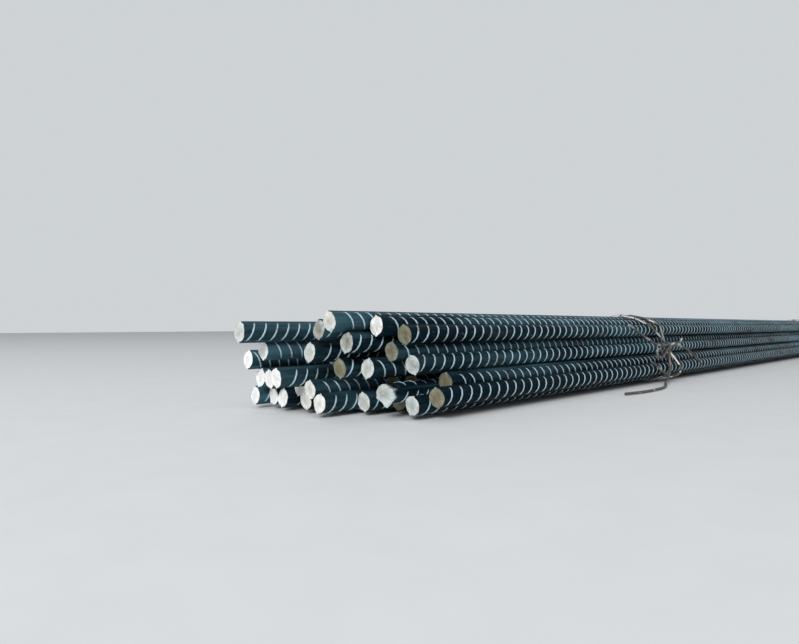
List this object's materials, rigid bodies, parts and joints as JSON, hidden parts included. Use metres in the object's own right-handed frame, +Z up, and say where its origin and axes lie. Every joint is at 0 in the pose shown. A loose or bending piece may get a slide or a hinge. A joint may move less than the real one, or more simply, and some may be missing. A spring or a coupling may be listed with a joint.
{
  "type": "rebar bundle",
  "caption": "Bundle of straight ribbed steel reinforcing bars, stacked in rows with staggered sheared ends and held by hand-twisted wire ties.",
  "frame": {"origin": "on the floor under the middle of the bundle, where the lowest turn of the ties rests", "axes": "+X along the bars, away from their pictured, staggered ends; +Y across the bundle, away from the twisted knots; +Z up"},
  "size_m": [3.1396, 0.1972, 0.0909],
  "materials": {
    "bar_steel": "hot-rolled with blue-black mill scale, bare at the sheared ends",
    "tie_wire": "annealed, dull grey"
  },
  "bodies": {
    "root": {"bars_layer_1": "bar_steel", "bars_layer_2": "bar_steel", "bars_layer_3": "bar_steel", "bars_layer_4": "bar_steel", "bars_layer_5": "bar_steel", "bars_layer_6": "bar_steel", "tie_wire_1": "tie_wire", "tie_wire_2": "tie_wire", "tie_wire_3": "tie_wire"}
  },
  "joints": []
}
